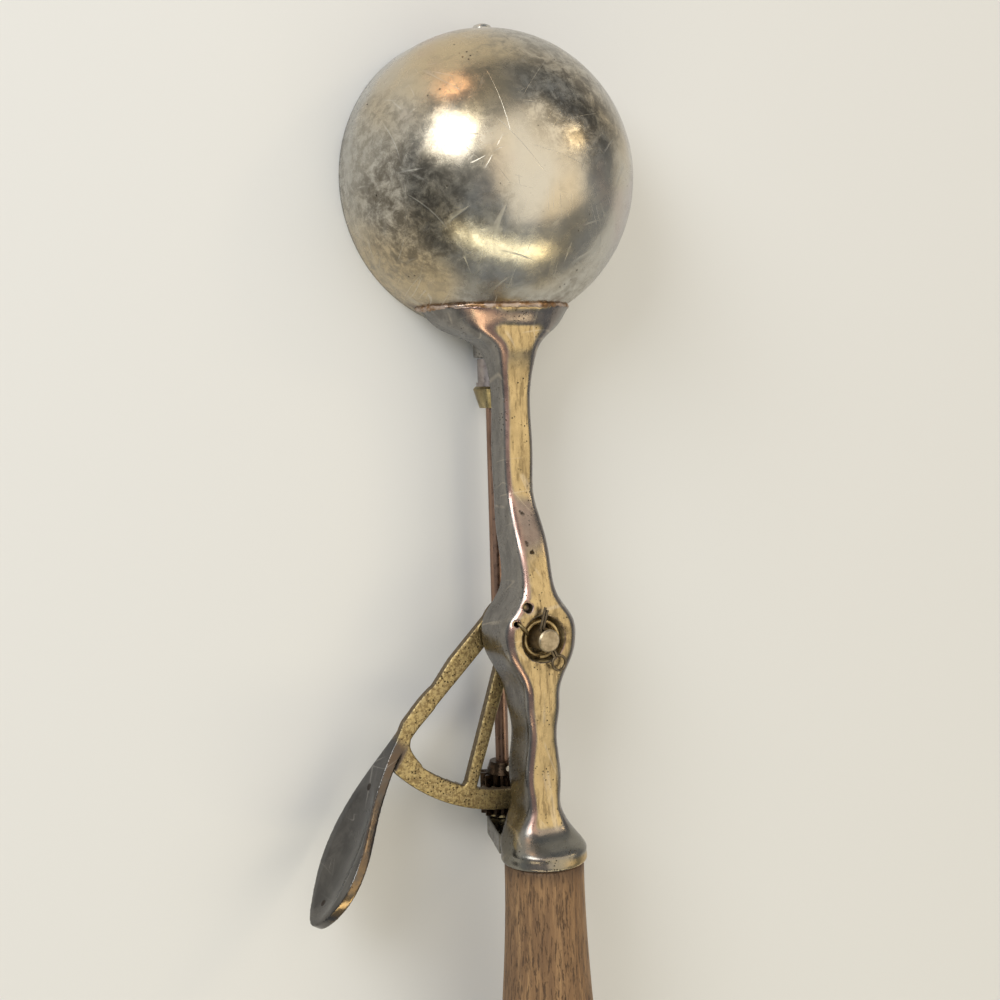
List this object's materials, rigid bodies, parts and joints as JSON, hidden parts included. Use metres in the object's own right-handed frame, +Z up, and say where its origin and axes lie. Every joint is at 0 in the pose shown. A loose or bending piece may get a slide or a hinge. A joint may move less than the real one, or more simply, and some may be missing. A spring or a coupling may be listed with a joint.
{
  "type": "lever ice cream scoop",
  "caption": "Lever ice cream scoop: domed metal bowl, scraper blade turned by a shaft and pinion, open thumb lever with a face rack, and a turned wooden handle.",
  "frame": {"origin": "centre of the bowl in the plane of its rim, the plane the scoop rests on", "axes": "+X right, +Y from the handle to the bowl's tip, +Z up, away from the rim plane"},
  "size_m": [0.0763, 0.2859, 0.036],
  "materials": {
    "bowl_nickel": "worn polished nickel plate",
    "cast_nickel": "worn nickel plate over brass",
    "blade_nickel": "worn nickel plate",
    "shaft_bronze": "grimy worn plate over brass",
    "rivet_nickel": "bright nickel",
    "sleeve_nickel": "dull nickel",
    "collar_brass": "dull brass",
    "gear_grime": "dark greasy brass",
    "lever_brass": "pitted casting worn to brass",
    "pin_steel": "dull steel",
    "spring_steel": "dark steel wire",
    "handle_wood": "worn oiled hardwood"
  },
  "bodies": {
    "root": {"bowl": "bowl_nickel", "frame_casting": "cast_nickel", "tip_rivet": "rivet_nickel", "tip_washer": "rivet_nickel", "handle": "handle_wood", "tang_rod": "pin_steel", "butt_washer": "collar_brass", "butt_nut": "collar_brass", "return_spring": "spring_steel"},
    "lever": {"thumb_lever": "lever_brass", "pivot_pin": "pin_steel", "pivot_washer": "collar_brass", "split_pin": "spring_steel"},
    "scraper": {"scraper_blade": "blade_nickel", "scraper_shaft": "shaft_bronze", "shaft_sleeve": "sleeve_nickel", "shaft_collar": "collar_brass", "collar_pin": "rivet_nickel", "pinion": "gear_grime", "pinion_pin": "rivet_nickel", "thrust_washer": "collar_brass"}
  },
  "joints": [
    {"name": "lever_squeeze", "type": "hinge", "parent": "root", "child": "lever", "pos_m": [0, -0.091, 0.012], "axis": [0, 0, 1], "range_deg": [0, 21.5], "stiffness_Nm_per_rad": 0.6, "springref_deg": -28.65, "deforming": ["return_spring"]},
    {"name": "scraper_turn", "type": "hinge", "parent": "root", "child": "scraper", "pos_m": [0, -0.085, 0.0052], "axis": [0, 1, 0], "range_deg": [0, 176]}
  ],
  "couplings": [
    {"joint": "scraper_turn", "follows": "lever_squeeze", "ratio": 8.1667}
  ]
}
